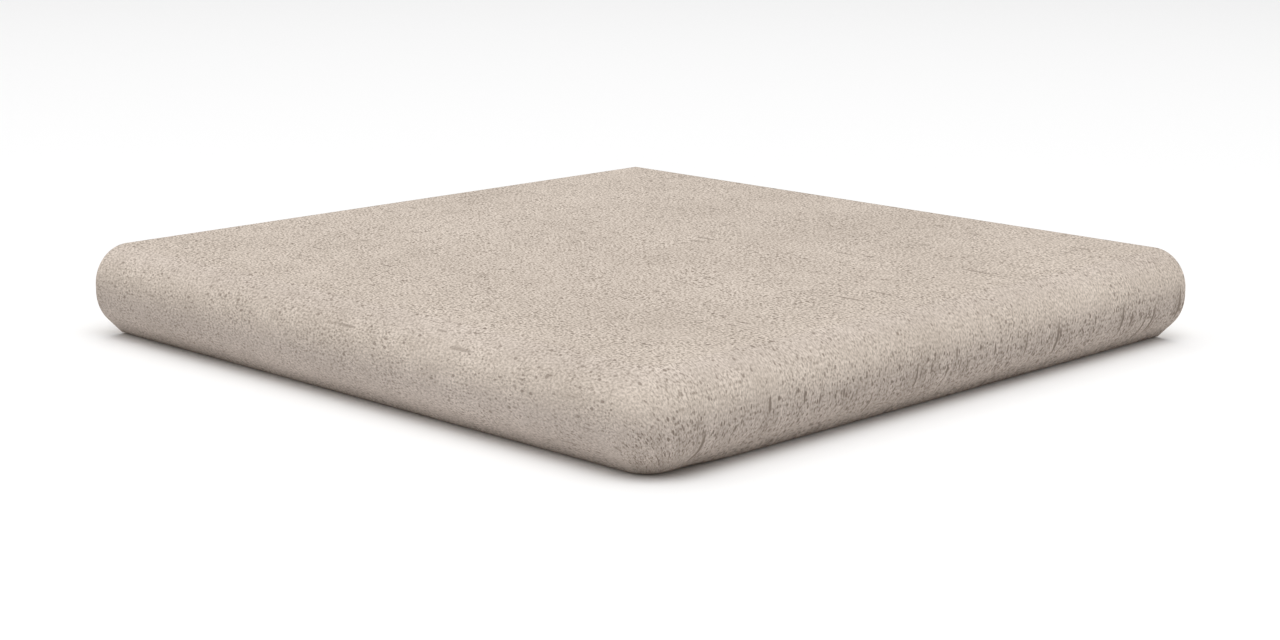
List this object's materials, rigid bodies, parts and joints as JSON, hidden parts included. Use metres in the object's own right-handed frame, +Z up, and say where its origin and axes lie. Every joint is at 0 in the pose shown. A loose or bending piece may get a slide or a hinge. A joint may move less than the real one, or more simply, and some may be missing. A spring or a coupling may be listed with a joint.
{
  "type": "clinker corner stair tread",
  "caption": "Square corner stair tread of fired clinker, with a rounded drip nosing along the front and round the corner, and a keyed recess below for the step.",
  "frame": {"origin": "middle of the square tread, at the height of the foot of the nosing", "axes": "+Z up, towards the walking face; the nosing faces -Y and +X, and its rounded corner is at +X, -Y; the cut edges face +Y and -X"},
  "size_m": [0.33, 0.33, 0.039],
  "materials": {
    "fired_clinker": "matte speckled stone-grey printed face, raw fired body below and on the cut edges"
  },
  "bodies": {
    "root": {"corner_tread": "fired_clinker"}
  },
  "joints": []
}
